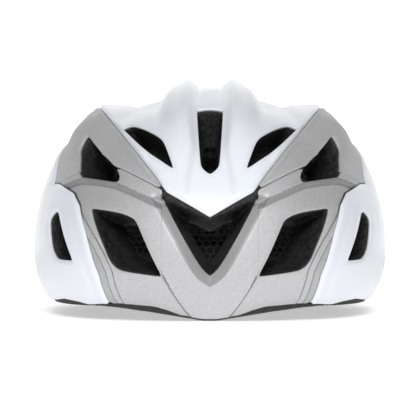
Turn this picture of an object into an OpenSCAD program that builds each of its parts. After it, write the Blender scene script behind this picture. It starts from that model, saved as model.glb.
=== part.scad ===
// Cycling helmet: moulded foam liner, thin outer shells, fit ring with dial, pads, webbing and buckle.
// Origin: on the surface it rests on, on the centre plane. Front faces -Y, up is +Z, millimetres.

/* [Outer size] */
// Width over the ears, without the shoulder ribs
helmet_w = 210; // [195:1:225]
// Reach of the brow in front of the centre
front_reach = 140; // [132:1:148]
// Reach of the back behind the centre
rear_reach = 140; // [132:1:148]
// Rise of the dome above its widest level, without ribs
crown_rise = 93; // [85:1:100]
// Height of the widest level above the table
belt_level = 38; // [36:1:42]
// Thickness of the outer shells
shell_t = 1.2; // [0.8:0.1:1.6]

/* [Head cavity] */
// Inside width
cavity_w = 164; // [158:1:168]
// Inside reach to the front
cavity_front = 103; // [100:1:106]
// Inside reach to the back
cavity_rear = 107; // [106:1:110]
// Inside rise above the widest level
cavity_rise = 70; // [66:1:74]

/* [Fit ring] */
// Inside radius of the belts
belt_r = 73; // [70:0.5:74]
// Belt thickness
belt_t = 1.4; // [1.2:0.1:1.6]
// Belt height
belt_h = 16; // [15:0.5:17]
// Y of the ring's centre
ring_y = 14; // [13:1:15]
// Height of the ring's centre
ring_z = 30; // [29:0.5:32]
// How far the ring leans down at the back, degrees
ring_tilt = 6; // [4:0.5:7]
// Pitch radius of the dial's pinion
pinion_r = 4.5; // [4.5:0.1:4.5]
// Radius of the dial
knob_r = 13; // [12:0.5:13.5]

/* [Webbing] */
// Width of the straps
strap_w = 15; // [14:0.5:16]
// Thickness of the straps
strap_t = 1.2; // [1:0.1:1.4]

/* [Hidden] */
$fn = 48;

centre = [0, 0, belt_level];
gap = 0.05;
under_drop = 62;
P = 2.2;
Q = 2.3;
far = 220;

// ---- directions: lean s off the centre plane, sweep t from the brow over the crown to the back ----
function dir(p) = [sin(p[0]), -cos(p[0]) * cos(p[1]), cos(p[0]) * sin(p[1])];
function unit(v) = v / norm(v);
function total(v, i = 0) = i == len(v) - 1 ? v[i] : v[i] + total(v, i + 1);
function flip(list) = [for (p = list) [-p[0], p[1]]];
function ease(x, a, b) = let (u = max(0, min(1, (x - a) / (b - a)))) u * u * (3 - 2 * u);
function lean(d) = abs(asin(max(-1, min(1, d[0]))));
function sweep(d) = atan2(d[2], -d[1]);

// ---- surfaces, as distances from the centre along a direction ----
function egg(d, a, f, r, up, dn) =
    let (b = d[1] < 0 ? f : r, c = d[2] > 0 ? up : dn)
    let (plan = pow(pow(abs(d[0]) / a, Q) + pow(abs(d[1]) / b, Q), P / Q))
    pow(plan + pow(abs(d[2]) / c, P), -1 / P);
// Height of the crown's ribs and valleys by lean, and the sweep at which they start to rise
ribs = [[0, 3.6], [3.8, 2.9], [7.3, 8.2], [11, 6], [15, 2], [20, -2.3], [26, -2], [32, 3], [38, 8.2], [43.5, 8.3],
    [49, 5], [56, 2.7], [64, 1], [74, 0.2], [90, 0]];
rib_start = [[0, 12], [12, 12], [18, 30], [30, 35], [90, 35]];
function outer_r(d) =
    let (s = lean(d), t = sweep(d))
    egg(d, helmet_w / 2, front_reach, rear_reach, crown_rise, under_drop)
    + lookup(s, ribs) * ease(t, lookup(s, rib_start), 61) * (1 - ease(t, 110, 150));
function cavity_r(d) = egg(d, cavity_w / 2, cavity_front, cavity_rear, cavity_rise, cavity_rise);
function on_outer(p, off = 0) = centre + (outer_r(dir(p)) - off) * dir(p);
function in_cavity(d, off) = centre + (cavity_r(d) - off) * d;

// Grid lines that the domes are built on
half_s = [3.7, 7.3, 11, 15, 20, 26, 32, 38, 43.5, 49, 56, 64, 74];
lines_s = concat([for (i = [len(half_s) - 1:-1:0]) -half_s[i]], [0], half_s);
cavity_s = [-78, -66, -54, -44, -34, -24, -15, -7, 0, 7, 15, 24, 34, 44, 54, 66, 78];
steps_t = 48;

// ---- building blocks ----
// Closed dome from a grid of points: one row of points to each sweep step, and a pole at each ear
module closed_dome(rows, poles) {
    n = len(rows);
    m = len(rows[0]);
    points = concat([for (row = rows) each row], poles);
    quads = [for (j = [0:n - 1]) for (i = [0:m - 2])
        let (a = j * m + i, b = (j + 1) % n * m + i)
        each i < (m - 1) / 2 ? [[a, b, a + 1], [b, b + 1, a + 1]] : [[a, b + 1, a + 1], [a, b, b + 1]]];
    caps = [for (j = [0:n - 1])
        let (a = j * m, b = (j + 1) % n * m)
        each [[n * m, b, a], [n * m + 1, a + m - 1, b + m - 1]]];
    polyhedron(points, concat(quads, caps), convexity = 8);
}

module outer_dome(off) {
    closed_dome([for (j = [0:steps_t - 1]) [for (s = lines_s) on_outer([s, j * 360 / steps_t], off)]],
        [on_outer([-90, 0], off), on_outer([90, 0], off)]);
}

// Room for the head: domed above the widest level, straight-sided below it
module cavity_space() {
    function at(s, t) = in_cavity(dir([s, t]), 0);
    function foot(s, t) = [at(s, t)[0], at(s, t)[1], -20];
    rows = concat([for (t = [0:10:180]) [for (s = cavity_s) at(s, t)]],
        [[for (s = cavity_s) foot(s, 180)], [for (s = cavity_s) foot(s, 0)]]);
    closed_dome(rows, [in_cavity([-1, 0, 0], 0), in_cavity([1, 0, 0], 0)]);
}

// Convex cone of directions from the centre outwards
module cone(list) {
    hull()
        polyhedron(concat([centre], [for (p = list) centre + far * dir(p)]), [[for (i = [0:len(list)]) i]]);
}

// Vent: a cone whose outline holds at the outer surface and shrinks to the given share of it at the cavity
module vent(list, axis = undef, share = 0.72) {
    n = is_undef(axis) ? unit(total([for (p = list) dir(p)])) : dir(axis);
    rs = outer_r(n);
    ri = cavity_r(n);
    slope = (rs - share * ri) / (rs - ri);
    apex = ri - share * ri / slope;
    top = rs + 14;
    points = [for (p = list)
        let (d = dir(p)) centre + top * n + slope * (top - apex) * (d / (d * n) - n)];
    hull() polyhedron(concat([centre + apex * n], points), [[for (i = [0:len(points)]) i]]);
}

module both_sides() {
    children();
    mirror([1, 0, 0]) children();
}

// Pillow-cornered patch that follows the cavity between two depths off its wall
module patch(s0, s1, t0, t1, near, deep, ns = 6, nt = 6, corner = 0.25) {
    function at(i, j, off) =
        let (u = 2 * i / ns - 1, v = 2 * j / nt - 1)
        let (uu = u * (1 - corner * pow(abs(v), 4)), vv = v * (1 - corner * pow(abs(u), 4)))
        in_cavity(dir([(s0 + s1) / 2 + uu * (s1 - s0) / 2, (t0 + t1) / 2 + vv * (t1 - t0) / 2]), off);
    m = ns + 1;
    k = m * (nt + 1);
    points = [for (off = [near, deep]) for (j = [0:nt]) for (i = [0:ns]) at(i, j, off)];
    sheet = [for (j = [0:nt - 1]) for (i = [0:ns - 1])
        let (a = j * m + i) each [[a, a + m + 1, a + 1], [a, a + m, a + m + 1]]];
    rim = concat([for (i = [0:ns]) i], [for (j = [1:nt]) j * m + ns],
        [for (i = [ns - 1:-1:0]) nt * m + i], [for (j = [nt - 1:-1:1]) j * m]);
    edge = [for (i = [0:len(rim) - 1])
        let (a = rim[i], b = rim[(i + 1) % len(rim)]) each [[a, k + b, k + a], [a, b, k + b]]];
    polyhedron(points, concat(sheet, [for (f = sheet) [k + f[2], k + f[1], k + f[0]]], edge), convexity = 6);
}

// Webbing: a flat ribbon through points, each with the normal that its face is square to
module ribbon(path, w = strap_w, t = strap_t) {
    n = len(path);
    points = [for (i = [0:n - 1])
        let (a = path[max(0, i - 1)][0], b = path[min(n - 1, i + 1)][0])
        let (side = unit(cross(path[i][1], b - a)) * w / 2, up = unit(path[i][1]) * t / 2)
        each [path[i][0] - side - up, path[i][0] + side - up, path[i][0] + side + up, path[i][0] - side + up]];
    walls = [for (i = [0:n - 2]) for (k = [0:3])
        let (a = 4 * i + k, b = 4 * i + (k + 1) % 4) each [[a, b + 4, b], [a, a + 4, b + 4]]];
    last = 4 * (n - 1);
    polyhedron(points, concat(walls, [[0, 1, 2], [0, 2, 3], [last, last + 2, last + 1], [last, last + 3, last + 2]]));
}

// ---- vents: outlines in [lean, sweep] degrees, right-hand side or centre ----
v_half = [[-0.5, 8.67], [0, 8.4], [12.3, 15], [1.4, -4.4], [0, -5.2], [-0.5, -5.1]];
crown_front = [[-4.2, 47.8], [4.2, 47.8], [2.1, 21.6], [0, 19.6], [-2.1, 21.6]];
crown_mid = [[-3.8, 84], [3.8, 84], [4.2, 97], [3.8, 110], [-3.8, 110], [-4.2, 97]];
crown_back = [[-3.8, 119], [3.8, 119], [3.2, 138], [0, 142], [-3.2, 138]];
exhaust = [[-13, 153], [13, 153], [9, 166], [-9, 166]];
brow_side = [[25.9, 42.5], [23.2, 43.2], [17.1, 37.3], [12.1, 30.9], [8.9, 21.2], [17.1, 28.7]];
band_upper = [[38.5, 49.2], [41.5, 42.9], [36.9, 26], [29.9, 31.9], [35.2, 41]];
band_lower = [[36.9, 26], [23.2, 19.6], [22.7, 20.9], [23.8, 23.8], [29.9, 31.9]];
diamond = [[32.3, 14.2], [20.5, 10.4], [17.8, 8.7], [11.1, -5.4], [22.2, -4.2], [24, -3]];
cheek = [[44.9, 15.4], [47.5, 16.7], [51.3, 14.3], [48.2, 0.8], [44.9, -2.5], [37.1, -2.2]];
crown_side = [[14, 82], [26, 80], [29, 92], [28, 106], [18, 110], [14, 97]];
crown_rear = [[12.5, 119], [28, 116], [25, 136], [12, 141]];
ear_slot = [[42, 62], [50, 57], [51.5, 82], [49, 106], [41.5, 110], [40, 85]];
back_side = [[20, 153], [35, 143], [42, 152], [34, 170], [22, 172]];
ear_low = [[57, 134], [64, 124], [67, 146], [58, 160]];
ear_mid = [[56, 84], [61, 72], [65, 92], [63, 114], [57, 116]];

module all_vents() {
    both_sides() {
        vent(v_half, [0, 4]);
        vent(brow_side);
        vent(band_upper, [33, 32]);
        vent(band_lower, [33, 32]);
        vent(diamond);
        vent(cheek);
        vent(crown_side);
        vent(crown_rear);
        vent(ear_slot);
        vent(back_side);
        vent(ear_low);
        vent(ear_mid);
    }
    vent(crown_front);
    vent(crown_mid);
    vent(crown_back);
    vent(exhaust);
}

// ---- regions of the outer shells ----
side_front = [[48, 30], [38.7, 20.5], [35.4, 15.2], [32.2, 6.6], [27.8, -5.8], [26.5, -15.4], [24, -40],
    [54, -60], [54, 36]];
side_back = [[54, 118], [47, 138], [42, 150], [38, 170], [36, 200], [40, 225], [54, 240]];
brow_half = [[-1, 4.5], [12.3, 15.5], [26, 26], [37, 28], [49, 31], [36, 0], [27, -40], [-1, -40]];
band_edge = [[10.4, 15.2], [13.9, 20.5], [20.6, 29.6], [30.1, 44.6], [36.2, 65.2], [38, 85], [38, 110],
    [34, 135], [31, 150], [50, 170], [80, 150], [85, 0], [60, -10], [30, 0]];
back_edge = [[-31, 148], [31, 148], [42, 157], [41, 172], [36, 200], [30, 220], [-30, 220], [-36, 200], [-41, 172], [-42, 157]];

module side_region() {
    cone([for (t = [-60:20:240]) [53, t]]);
    cone(side_front);
    cone(side_back);
}
module brow_region() {
    both_sides() cone(brow_half);
}

// Lower edge seen from the front and from the back: the brow dips to a point, the nape is flat
brow_line = [[0, 0], [4, 0], [34, 5], [60, 8], [100, 7]];
nape_line = [[0, 0], [50, 0], [62, 1.5], [85, 5.5], [100, 7]];
trim_h = 5;

module above(line, lift) {
    edge = concat([for (i = [len(line) - 1:-1:0]) [-line[i][0], line[i][1] + lift]],
        [for (i = [1:len(line) - 1]) [line[i][0], line[i][1] + lift]]);
    rotate([90, 0, 0]) linear_extrude(180) polygon(concat([[-130, 160], [-130, 7 + lift]], edge, [[130, 7 + lift], [130, 160]]));
}
module above_rim(lift) {
    above(brow_line, lift);
    translate([0, 180, 0]) above(nape_line, lift);
}
module skin() {
    intersection() {
        difference() {
            outer_dome(0);
            outer_dome(shell_t);
        }
        above_rim(trim_h);
    }
}

// ---- outer shells ----
module crown_shell() {
    color([0.93, 0.94, 0.95]) difference() {
        skin();
        both_sides() {
            cone(band_edge);
            side_region();
        }
        brow_region();
        cone(back_edge);
        all_vents();
    }
}
module brow_shell() {
    color([0.66, 0.67, 0.68]) difference() {
        intersection() {
            skin();
            brow_region();
        }
        both_sides() side_region();
        all_vents();
    }
}
module band_right() {
    color([0.66, 0.67, 0.68]) difference() {
        intersection() {
            skin();
            cone(band_edge);
        }
        side_region();
        brow_region();
        cone(back_edge);
        all_vents();
    }
}
module band_left() { mirror([1, 0, 0]) band_right(); }
module side_shell_right() {
    color([0.93, 0.94, 0.95]) difference() {
        intersection() {
            skin();
            side_region();
        }
        cone(back_edge);
        all_vents();
    }
}
module side_shell_left() { mirror([1, 0, 0]) side_shell_right(); }
module rear_shell() {
    color([0.66, 0.67, 0.68]) difference() {
        intersection() {
            skin();
            cone(back_edge);
        }
        all_vents();
    }
}
module rim_trim() {
    color([0.16, 0.16, 0.17]) difference() {
        intersection() {
            outer_dome(0.4);
            above_rim(0);
        }
        outer_dome(shell_t + 0.6);
        above_rim(trim_h - gap);
        all_vents();
    }
}

// ---- foam liner ----
module eps_liner() {
    color([0.07, 0.07, 0.07]) difference() {
        intersection() {
            outer_dome(shell_t + gap);
            above_rim(0);
        }
        difference() {
            outer_dome(-5);
            above_rim(trim_h);
            outer_dome(shell_t + 0.6 + gap);
        }
        cavity_space();
        all_vents();
        both_sides() {
            translate([temple_x - 0.05, ring_y, ring_z]) rotate([0, 90, 0]) cylinder(r = anchor_r + gap, h = anchor_t + 0.1, $fn = 32);
            translate([70, ring_y, ring_z]) rotate([0, 90, 0]) cylinder(r = anchor_r + gap, h = 15, $fn = 32);
        }
        clip_base(0.2);
        for (a = strap_az) strap_plate(a, gap);
    }
}

// ---- net and pads ----
module insect_net() {
    color([0.1, 0.1, 0.1]) patch(-36, 36, -7, 25, 0.9, 1.5, 18, 8, 0.08);
}
module brow_pad() {
    color([0.12, 0.12, 0.13]) patch(-44, 44, -18, -8.5, 1.8, 7, 22, 4, 0.08);
}
module crown_pads() {
    color([0.12, 0.12, 0.13]) both_sides() patch(5.5, 13, 50, 122, 1.4, 7, 4, 18, 0.12);
}
module side_pads() {
    color([0.12, 0.12, 0.13]) both_sides() patch(54, 64, 40, 76, 3.4, 8, 4, 10, 0.12);
}
dots = [[9.2, 58], [9.2, 86], [9.2, 114]];
module hook_dots() {
    color([0.2, 0.2, 0.2]) both_sides() {
        for (d = dots) patch(d[0] - 2, d[0] + 2, d[1] - 3, d[1] + 3, 0.6, 1.3, 2, 2, 0.2);
        patch(57, 61, 48, 56, 0.9, 3.1, 2, 2, 0.2);
        patch(57, 61, 62, 70, 0.9, 3.1, 2, 2, 0.2);
        patch(24, 29, -15, -11.5, 0.1, 1.5, 2, 2, 0.2);
    }
}

// ---- fit ring: hinged at the temples, belts slide through it, the dial draws them in ----
// Temple anchor disc
temple_x = 80.6;
anchor_r = 8;
anchor_t = 4.4;
pin_r = 2;
run = 0.05;
yoke_in = 77;
yoke_t = 1.6;
house_a = 17;
pitch = 2 * PI * pinion_r / 8;
slot_a = 15.6;
right_r = belt_r + belt_t + 0.4;

module ring_frame() { translate([0, ring_y, ring_z]) rotate([-ring_tilt, 0, 0]) children(); }
// Band about the ring's upright axis; 0 degrees is the back, positive towards the left
module hoop(r, t, h, a0, a1) {
    rotate([0, 0, 90 + a0]) rotate_extrude(angle = a1 - a0) translate([r, -h / 2]) square([t, h]);
}
// Band about the hinge axis; 0 degrees is level towards the back, positive upwards
module rise(r, t, w, a0, a1) {
    rotate([0, 90, 0]) rotate([0, 0, 90 + a0]) rotate_extrude(angle = a1 - a0) translate([r, -w / 2]) square([t, w]);
}
module shaft(r, y0, y1) { translate([0, y1, 0]) rotate([90, 0, 0]) cylinder(r = r, h = y1 - y0); }

module temple_anchors() {
    color([0.1, 0.1, 0.1]) both_sides() translate([temple_x, ring_y, ring_z]) rotate([0, 90, 0]) difference() {
        cylinder(r = anchor_r, h = anchor_t);
        translate([0, 0, -1]) cylinder(r = pin_r, h = anchor_t + 2);
    }
}
module temple_pins() {
    color([0.3, 0.3, 0.3]) both_sides() translate([0, ring_y, ring_z]) rotate([0, 90, 0]) {
        translate([0, 0, 76.75]) cylinder(r = pin_r, h = temple_x + anchor_t - 76.75);
        translate([0, 0, yoke_in + 2.3]) cylinder(r = 3.5, h = temple_x - yoke_in - 2.3);
    }
}
module yoke() {
    color([0.1, 0.1, 0.1]) ring_frame() difference() {
        union() {
            hoop(yoke_in, yoke_t, 9, -100, 100);
            hoop(yoke_in + 0.1, yoke_t - 0.2, 20.8, -house_a, house_a);
            difference() {
                shaft(10, 70, 79.6);
                cylinder(r = yoke_in + 0.3, h = 40, center = true);
            }
            both_sides() difference() {
                translate([74, 0, 0]) rotate([0, 90, 0]) cylinder(r = 6, h = 5);
                cylinder(r = yoke_in + 0.3, h = 40, center = true);
            }
            for (a = [-62, 62]) belt_guide(a);
        }
        shaft(3 + run, 70, 90);
        both_sides() translate([70, 0, 0]) rotate([0, 90, 0]) cylinder(r = pin_r + run, h = 15);
    }
}
// Loop on the yoke that a belt slides through
module belt_guide(a) {
    difference() {
        hoop(71.6, yoke_in + 0.5 - 71.6, 20, a - 2.5, a + 2.5);
        hoop(72.4, yoke_in - 0.1 - 72.4, 16.8, a - 4, a + 4);
    }
}

module dial_housing() {
    color([0.1, 0.1, 0.1]) ring_frame() difference() {
        hoop(70.6, yoke_in - gap - 70.6, 20.8, -house_a, house_a);
        hoop(72.5, 6, 16.8, -house_a - 2, house_a + 2);
        shaft(1.5 + run, 60, 80);
    }
}
// One tooth of a belt's rack, pointing down from the slot's upper edge
module rack_tooth(r, a) {
    rotate([0, 0, a]) translate([0, r + belt_t - 0.1, pinion_r]) rotate([90, 0, 0])
        linear_extrude(belt_t - 0.2) polygon([[-0.36, -0.75], [0.36, -0.75], [1.05, 1.6], [-1.05, 1.6]]);
}
module belt(r) {
    step = pitch / (r + belt_t / 2) * 180 / PI;
    difference() {
        hoop(r, belt_t, belt_h, -20, 112);
        hoop(r - 1, belt_t + 2, 12, -slot_a, slot_a);
        for (a = [40:12:100]) rotate([0, 0, a]) shaft(2.2, r - 2, r + belt_t + 2);
    }
    for (k = [-5.5:1:5.5]) rack_tooth(r, k * step);
}
module belt_left() { color([0.14, 0.14, 0.15]) ring_frame() belt(belt_r); }
module belt_right() { color([0.14, 0.14, 0.15]) ring_frame() rotate([0, 180, 0]) belt(right_r); }

module pinion() {
    tooth = [[-0.95, 2.6], [-0.85, 3.6], [-0.62, 4.5], [-0.3, 5.25], [0.3, 5.25], [0.62, 4.5], [0.85, 3.6], [0.95, 2.6]];
    color([0.75, 0.75, 0.72]) ring_frame() {
        shaft(1.5, 71, 73);
        translate([0, 76.5, 0]) rotate([90, 0, 0]) linear_extrude(3.7) {
            circle(r = 3.1);
            for (k = [0:7]) rotate([0, 0, k * 45]) polygon(tooth);
        }
        shaft(3, 76.5, 82);
    }
}
module detent_ring() {
    color([0.7, 0.7, 0.68]) ring_frame() difference() {
        shaft(8.6, 79.6, 80.8);
        shaft(4, 79, 82);
        for (a = [0:30:330]) rotate([0, a, 0]) translate([8.6, 80.2, 0]) rotate([90, 0, 0]) cylinder(r = 0.7, h = 3, center = true);
    }
}
module dial_knob() {
    color([0.12, 0.12, 0.12]) ring_frame() difference() {
        shaft(knob_r - 1.2, 79.9, 90);
        shaft(9, 79, 81.1);
        shaft(3, 79, 82);
        for (a = [0:60:300]) rotate([0, a, 0]) translate([7, 90.4, 0]) rotate([90, 0, 0]) cylinder(r = 1.6, h = 2);
    }
}
module dial_grip() {
    color([0.2, 0.2, 0.2]) ring_frame() difference() {
        shaft(knob_r, 81, 89);
        shaft(knob_r - 1.2, 80, 91);
        for (a = [0:20:340]) rotate([0, a, 0]) translate([knob_r + 0.6, 85, 0]) rotate([90, 0, 0]) cylinder(r = 1.1, h = 12, center = true);
    }
}
module height_stem() {
    color([0.1, 0.1, 0.1]) ring_frame() difference() {
        union() {
            translate([-6, 71.5, 10.4]) cube([12, 5, 5]);
            translate([-6, 71.5, 14]) cube([12, 16, 1.6]);
            rise(87, 1.6, 12, 9.6, 34);
        }
        for (a = [16:4:30]) rotate([a, 0, 0]) translate([-3, 80, -0.9]) cube([6, 12, 1.8]);
    }
}
module clip_base(grow) {
    translate([0, ring_y, ring_z]) rise(92.2 - grow, 4 + 2 * grow, 18 + 2 * grow, 14 - grow, 23 + grow);
}
module stem_clip() {
    color([0.1, 0.1, 0.1]) {
        clip_base(0);
        translate([0, ring_y, ring_z]) difference() {
            rise(85.2, 7.4, 17, 16, 21);
            rise(86.6, 2.4, 12.8, 14, 23);
            rise(84, 4, 7, 14, 23);
        }
    }
}
module nape_pad() {
    color([0.12, 0.12, 0.13]) ring_frame() hoop(66.8, 3.4, 15, -30, 30);
}

// ---- webbing: stowed up inside the helmet, over the pads ----
strap_az = [-140, -52, 52, 140];
divider_dir = unit([78, 2, 24]);
top_dir = unit([26, 2, 58]);

function level_dir(a, z) = let (h = cavity_r([sin(a), -cos(a), 0])) unit([h * sin(a), -h * cos(a), z - belt_level]);
function path(from, to, off0, off1, n, last = 1, first = 0) = [for (i = [0:n])
    let (u = first + (last - first) * i / n, d = unit(from * (1 - u) + to * u)) [in_cavity(d, off0 + (off1 - off0) * u), d]];

// Plate let into the foam that a strap loops through
module strap_plate(a, grow) {
    translate([0, 0, 13]) rotate([0, 0, a]) translate([0, -cavity_r([sin(a), -cos(a), 0]), 0])
        translate([-9.5 - grow, -3.4 - grow, -4 - grow]) cube([19 + 2 * grow, 3.9 + 2 * grow, 8 + 2 * grow]);
}
module strap_anchors() {
    color([0.1, 0.1, 0.1]) for (a = strap_az) strap_plate(a, 0);
}
// The ribbons stop this share of the way, at the edge of the divider
reach = 0.79;
module front_straps() {
    color([0.1, 0.1, 0.1]) both_sides() ribbon(path(level_dir(52, 14), divider_dir, 1.9, 1.9, 12, reach));
}
module rear_straps() {
    color([0.1, 0.1, 0.1]) both_sides() ribbon(path(level_dir(140, 14), divider_dir, 1.9, 1.9, 16, reach + 0.02));
}
// Turns +Z to a direction, at a depth off the cavity's wall
module facing(d, off) {
    translate(in_cavity(d, off)) rotate([0, acos(d[2]), atan2(d[1], d[0])]) children();
}
module strap_dividers() {
    color([0.1, 0.1, 0.1]) both_sides() facing(divider_dir, 5.2) difference() {
        cylinder(r = 13, h = 3);
        for (a = [-50, 50, 180]) rotate([0, 0, a]) translate([-9.5, -7.6, -1]) cube([2, 15.2, 5]);
    }
}

// Chin strap: up from the divider, then level into the buckle
buckle_z = 89;
buckle_l = 33;
buckle_y = 2;
strap_top = [buckle_l, buckle_y, buckle_z - belt_level];
chin_line = concat(path(divider_dir, unit(strap_top), 3, cavity_r(unit(strap_top)) - norm(strap_top), 16, 0.9, 0.24),
    [[[buckle_l + 4, buckle_y, buckle_z - 0.6], unit([0.3, 0, 1])], [[buckle_l + 0.1, buckle_y, buckle_z], [0, 0, 1]]]);

module chin_strap_right() { color([0.1, 0.1, 0.1]) ribbon(chin_line); }
module chin_strap_left() { color([0.1, 0.1, 0.1]) mirror([1, 0, 0]) ribbon(chin_line); }

// Places a piece on the left chin strap, X along the strap and Z square to its face
module around_strap(u) {
    slack = cavity_r(unit(strap_top)) - norm(strap_top);
    ends = path(divider_dir, unit(strap_top), 3, slack, 2, u + 0.05, u - 0.05);
    along = unit(ends[2][0] - ends[0][0]);
    side = unit(cross(ends[1][1], along));
    up = cross(along, side);
    p = ends[1][0];
    mirror([1, 0, 0]) multmatrix([[along[0], side[0], up[0], p[0]], [along[1], side[1], up[1], p[1]],
        [along[2], side[2], up[2], p[2]], [0, 0, 0, 1]]) children();
}
module strap_keeper() {
    color([0.15, 0.15, 0.15]) around_strap(0.45) difference() {
        cube([5, strap_w + 4, 4.2], center = true);
        cube([7, strap_w + 0.8, 2.2], center = true);
    }
}
module tri_glide() {
    color([0.1, 0.1, 0.1]) around_strap(0.66) difference() {
        cube([12, strap_w + 6, 4.4], center = true);
        cube([14, strap_w + 0.8, 2.4], center = true);
        for (x = [-3, 3]) translate([x, 0, 0]) cube([3, strap_w + 0.8, 8], center = true);
    }
}
module buckle_socket() {
    color([0.08, 0.08, 0.08]) translate([0, buckle_y, buckle_z]) difference() {
        translate([-buckle_l, -13, -4]) cube([buckle_l, 26, 8]);
        translate([-20, -10.8, -2.3]) cube([21, 21.6, 4.6]);
        for (k = [-1, 1]) translate([-13, k * 13, 0]) cube([9, 6, 10], center = true);
        translate([-30.5, -strap_w / 2 - 0.5, -5]) cube([4, strap_w + 1, 10]);
    }
}
module buckle_tongue() {
    color([0.08, 0.08, 0.08]) translate([0, buckle_y, buckle_z]) {
        difference() {
            translate([0.5, -13, -3.5]) cube([buckle_l - 0.5, 26, 7]);
            translate([26.5, -strap_w / 2 - 0.5, -5]) cube([4, strap_w + 1, 10]);
            translate([8, -6, 2.6]) cube([12, 12, 2]);
        }
        for (k = [-1, 1]) translate([-17, k * 8 - 1.6, -1.8]) cube([18, 3.2, 3.6]);
        translate([-15, -1.5, -1.8]) cube([16, 3, 3.6]);
    }
}

crown_shell();
brow_shell();
band_left();
band_right();
side_shell_left();
side_shell_right();
rear_shell();
rim_trim();
eps_liner();
insect_net();
brow_pad();
crown_pads();
side_pads();
hook_dots();
temple_anchors();
temple_pins();
yoke();
dial_housing();
belt_left();
belt_right();
pinion();
dial_knob();
dial_grip();
detent_ring();
height_stem();
stem_clip();
nape_pad();
strap_anchors();
front_straps();
rear_straps();
strap_dividers();
chin_strap_left();
chin_strap_right();
buckle_socket();
buckle_tongue();
strap_keeper();
tri_glide();
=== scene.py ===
"""Cycling helmet: painted shells, bead-foam liner, net, pads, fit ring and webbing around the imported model.

Lengths are in millimetres until a mesh is made. Directions are (lean, sweep) in degrees: lean off the centre
plane, sweep from the brow over the crown to the back.
"""

import math

import bpy
import numpy as np
import openvdb
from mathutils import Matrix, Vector


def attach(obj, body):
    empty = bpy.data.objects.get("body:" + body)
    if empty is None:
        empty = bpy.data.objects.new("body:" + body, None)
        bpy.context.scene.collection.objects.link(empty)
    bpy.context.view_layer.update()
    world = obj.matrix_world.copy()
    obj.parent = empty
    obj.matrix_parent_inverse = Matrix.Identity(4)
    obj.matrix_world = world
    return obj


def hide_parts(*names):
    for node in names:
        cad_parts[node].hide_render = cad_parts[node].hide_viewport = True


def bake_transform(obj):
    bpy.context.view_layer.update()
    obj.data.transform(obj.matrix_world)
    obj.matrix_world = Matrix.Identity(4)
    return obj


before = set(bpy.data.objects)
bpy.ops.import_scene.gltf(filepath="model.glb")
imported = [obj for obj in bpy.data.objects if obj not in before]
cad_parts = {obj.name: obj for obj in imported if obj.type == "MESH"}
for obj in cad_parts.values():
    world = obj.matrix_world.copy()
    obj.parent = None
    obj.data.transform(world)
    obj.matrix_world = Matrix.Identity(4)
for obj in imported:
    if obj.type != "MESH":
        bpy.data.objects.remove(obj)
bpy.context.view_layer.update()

MM = 0.001
CENTRE = np.array([0.0, 0.0, 38.0])
SHELL = 1.2


# ---------------------------------------- directions and surfaces
def direction(lean, sweep):
    s, t = np.radians(lean), np.radians(sweep)
    return np.stack(np.broadcast_arrays(np.sin(s), -np.cos(s) * np.cos(t), np.cos(s) * np.sin(t)), -1)


def unit(v):
    return v / np.linalg.norm(v, axis=-1, keepdims=True)


def lean_sweep(d):
    return np.degrees(np.arcsin(np.clip(d[..., 0], -1, 1))), np.degrees(np.arctan2(d[..., 2], -d[..., 1]))


def ease(x, a, b):
    u = np.clip((x - a) / (b - a), 0, 1)
    return u * u * (3 - 2 * u)


def bump(x, middle, width):
    return np.exp(-(((x - middle) / width) ** 2))


def smooth_curve(x, points):
    """A cubic curve through the points, flat at both ends."""
    xs, ys = np.array(points, float).T
    slope = np.gradient(ys, xs)
    slope[0] = slope[-1] = 0
    x = np.clip(x, xs[0], xs[-1])
    i = np.clip(np.searchsorted(xs, x) - 1, 0, len(xs) - 2)
    h = xs[i + 1] - xs[i]
    u = (x - xs[i]) / h
    return (
        ys[i] * (1 + 2 * u) * (1 - u) ** 2
        + h * slope[i] * u * (1 - u) ** 2
        + ys[i + 1] * u * u * (3 - 2 * u)
        - h * slope[i + 1] * u * u * (1 - u)
    )


def egg(d, a, front, rear, up, down, p=2.2, q=2.3):
    b = np.where(d[..., 1] < 0, front, rear)
    c = np.where(d[..., 2] > 0, up, down)
    plan = (np.abs(d[..., 0] / a) ** q + np.abs(d[..., 1] / b) ** q) ** (p / q)
    return (plan + np.abs(d[..., 2] / c) ** p) ** (-1 / p)


# Height of the crown's ribs and valleys across the helmet, by lean
CROWN = [(0, 3.6), (2, 3.3), (3.8, 2.9), (5.4, 6.2), (7.1, 8.2), (8.8, 7.7), (10.7, 6.1), (12.7, 4.7),
         (14.4, 3.0), (16, 0), (17.5, -1.9), (20, -2.3), (24, -2.3), (27, -1.8), (29.8, 0.8), (32.6, 3.8),
         (35.2, 6.6), (38.1, 8.3), (41.5, 8.8),
         (44, 8.1), (47.6, 5.6), (53, 3.6), (60, 1.6), (68, 0.4), (90, 0)]  # fmt: skip


def dome_r(d):
    """Distance of the shells' nominal outside from the centre."""
    s, t = lean_sweep(d)
    s = np.abs(s)
    starts = np.interp(s, [0, 12, 18, 30], [12, 12, 30, 35])
    ribs = smooth_curve(s, CROWN) * ease(t, starts, 61) * (1 - ease(t, 110, 150))
    return egg(d, 105, 140, 140, 93, 62) + ribs


def cavity_r(d):
    return egg(d, 82, 103, 107, 70, 70)


def in_cavity(d, off):
    return CENTRE + (cavity_r(d) - off)[..., None] * d


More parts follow.
